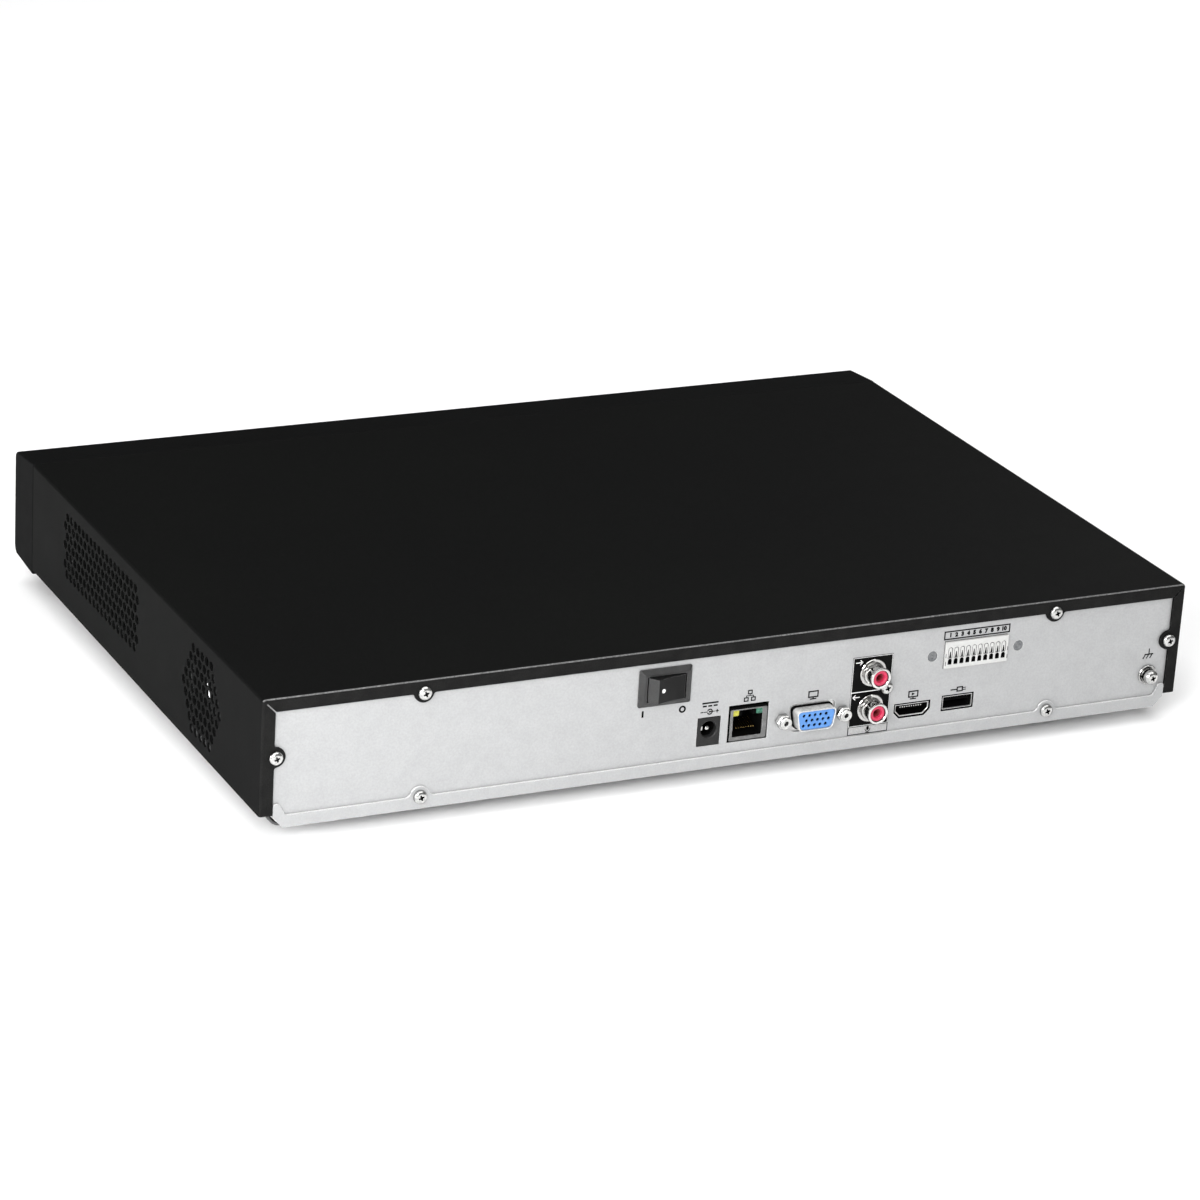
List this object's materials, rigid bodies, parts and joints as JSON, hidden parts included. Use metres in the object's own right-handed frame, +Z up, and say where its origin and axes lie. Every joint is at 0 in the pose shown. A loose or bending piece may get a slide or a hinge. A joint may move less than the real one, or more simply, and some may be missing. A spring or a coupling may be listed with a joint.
{
  "type": "dvr recorder",
  "caption": "Low desktop video recorder: black folded cover with hexagonal side vents, moulded front bezel, and a steel rear panel with rocker switch, sockets, audio jacks and terminals.",
  "frame": {"origin": "under the middle of the recorder's bounding box, on the plane that the feet stand on", "axes": "+Z up, the front bezel faces -Y and the rear connectors face +Y, +X is to the left as seen from the rear"},
  "size_m": [0.375, 0.275, 0.056],
  "materials": {
    "cover_paint": "fine black powder coat",
    "sheet_steel": "galvanised, matt, finely speckled",
    "bezel_plastic": "fine texture",
    "window_gloss": "polished smoked acrylic",
    "foot_rubber": "matt",
    "zinc_screw": "bright zinc plated",
    "stud_metal": "dull plated",
    "switch_plastic": "satin",
    "socket_black": "satin",
    "bright_metal": "tin or nickel plated",
    "led_yellow": "translucent lens",
    "led_green": "translucent lens",
    "socket_blue": "satin",
    "jack_pink": "satin",
    "terminal_white": "satin",
    "board_green": "solder resist",
    "cast_aluminium": "cast and machined",
    "fan_plastic": "moulded"
  },
  "bodies": {
    "case": {"bottom_chassis": "sheet_steel", "top_cover": "cover_paint", "front_bezel": "bezel_plastic", "status_window": "window_gloss", "foot_front_left": "foot_rubber", "foot_front_right": "foot_rubber", "foot_rear_left": "foot_rubber", "foot_rear_right": "foot_rubber", "rear_panel": "sheet_steel", "cover_screw_top_left": "zinc_screw", "cover_screw_top_right": "zinc_screw", "cover_screw_side_left": "zinc_screw", "cover_screw_side_right": "zinc_screw", "panel_screw_left": "zinc_screw", "panel_screw_right": "zinc_screw", "audio_screw": "zinc_screw", "ground_screw": "zinc_screw", "clinch_stud_left": "stud_metal", "clinch_stud_right": "stud_metal", "rocker_frame": "switch_plastic", "dc_jack_body": "socket_black", "dc_jack_pin": "bright_metal", "lan_shell": "bright_metal", "lan_insert": "socket_black", "lan_led_yellow": "led_yellow", "lan_led_green": "led_green", "vga_shell": "bright_metal", "vga_insert": "socket_blue", "vga_jackscrew_left": "zinc_screw", "vga_jackscrew_right": "zinc_screw", "audio_block": "socket_black", "audio_barrel_out": "bright_metal", "audio_barrel_in": "bright_metal", "audio_insert_out": "jack_pink", "audio_insert_in": "jack_pink", "video_port_shell": "bright_metal", "video_port_tongue": "socket_black", "usb_rear_shell": "bright_metal", "usb_rear_tongue": "socket_black", "usb_front_shell": "bright_metal", "terminal_block": "terminal_white", "main_board": "board_green", "alarm_board": "board_green", "front_board": "board_green", "heat_sink": "cast_aluminium", "hard_drive_1": "cast_aluminium", "hard_drive_2": "cast_aluminium", "fan_frame": "fan_plastic"},
    "rocker": {"rocker_button": "switch_plastic"},
    "fan": {"fan_rotor": "fan_plastic"},
    "lever_1": {"terminal_lever_1": "terminal_white"},
    "lever_2": {"terminal_lever_2": "terminal_white"},
    "lever_3": {"terminal_lever_3": "terminal_white"},
    "lever_4": {"terminal_lever_4": "terminal_white"},
    "lever_5": {"terminal_lever_5": "terminal_white"},
    "lever_6": {"terminal_lever_6": "terminal_white"},
    "lever_7": {"terminal_lever_7": "terminal_white"},
    "lever_8": {"terminal_lever_8": "terminal_white"},
    "lever_9": {"terminal_lever_9": "terminal_white"},
    "lever_10": {"terminal_lever_10": "terminal_white"}
  },
  "joints": [
    {"name": "rocker_switch", "type": "hinge", "parent": "case", "child": "rocker", "pos_m": [0.032, 0.1288, 0.0415], "axis": [0, 0, -1], "range_deg": [0, 24]},
    {"name": "fan_spin", "type": "hinge", "parent": "case", "child": "fan", "pos_m": [0.178, 0.0729, 0.0334], "axis": [1, 0, 0], "continuous": true},
    {"name": "lever_1_press", "type": "slide", "parent": "case", "child": "lever_1", "axis": [0, -1, 0], "range_m": [0, 0.0012], "stiffness_N_per_m": 400},
    {"name": "lever_2_press", "type": "slide", "parent": "case", "child": "lever_2", "axis": [0, -1, 0], "range_m": [0, 0.0012], "stiffness_N_per_m": 400},
    {"name": "lever_3_press", "type": "slide", "parent": "case", "child": "lever_3", "axis": [0, -1, 0], "range_m": [0, 0.0012], "stiffness_N_per_m": 400},
    {"name": "lever_4_press", "type": "slide", "parent": "case", "child": "lever_4", "axis": [0, -1, 0], "range_m": [0, 0.0012], "stiffness_N_per_m": 400},
    {"name": "lever_5_press", "type": "slide", "parent": "case", "child": "lever_5", "axis": [0, -1, 0], "range_m": [0, 0.0012], "stiffness_N_per_m": 400},
    {"name": "lever_6_press", "type": "slide", "parent": "case", "child": "lever_6", "axis": [0, -1, 0], "range_m": [0, 0.0012], "stiffness_N_per_m": 400},
    {"name": "lever_7_press", "type": "slide", "parent": "case", "child": "lever_7", "axis": [0, -1, 0], "range_m": [0, 0.0012], "stiffness_N_per_m": 400},
    {"name": "lever_8_press", "type": "slide", "parent": "case", "child": "lever_8", "axis": [0, -1, 0], "range_m": [0, 0.0012], "stiffness_N_per_m": 400},
    {"name": "lever_9_press", "type": "slide", "parent": "case", "child": "lever_9", "axis": [0, -1, 0], "range_m": [0, 0.0012], "stiffness_N_per_m": 400},
    {"name": "lever_10_press", "type": "slide", "parent": "case", "child": "lever_10", "axis": [0, -1, 0], "range_m": [0, 0.0012], "stiffness_N_per_m": 400}
  ]
}
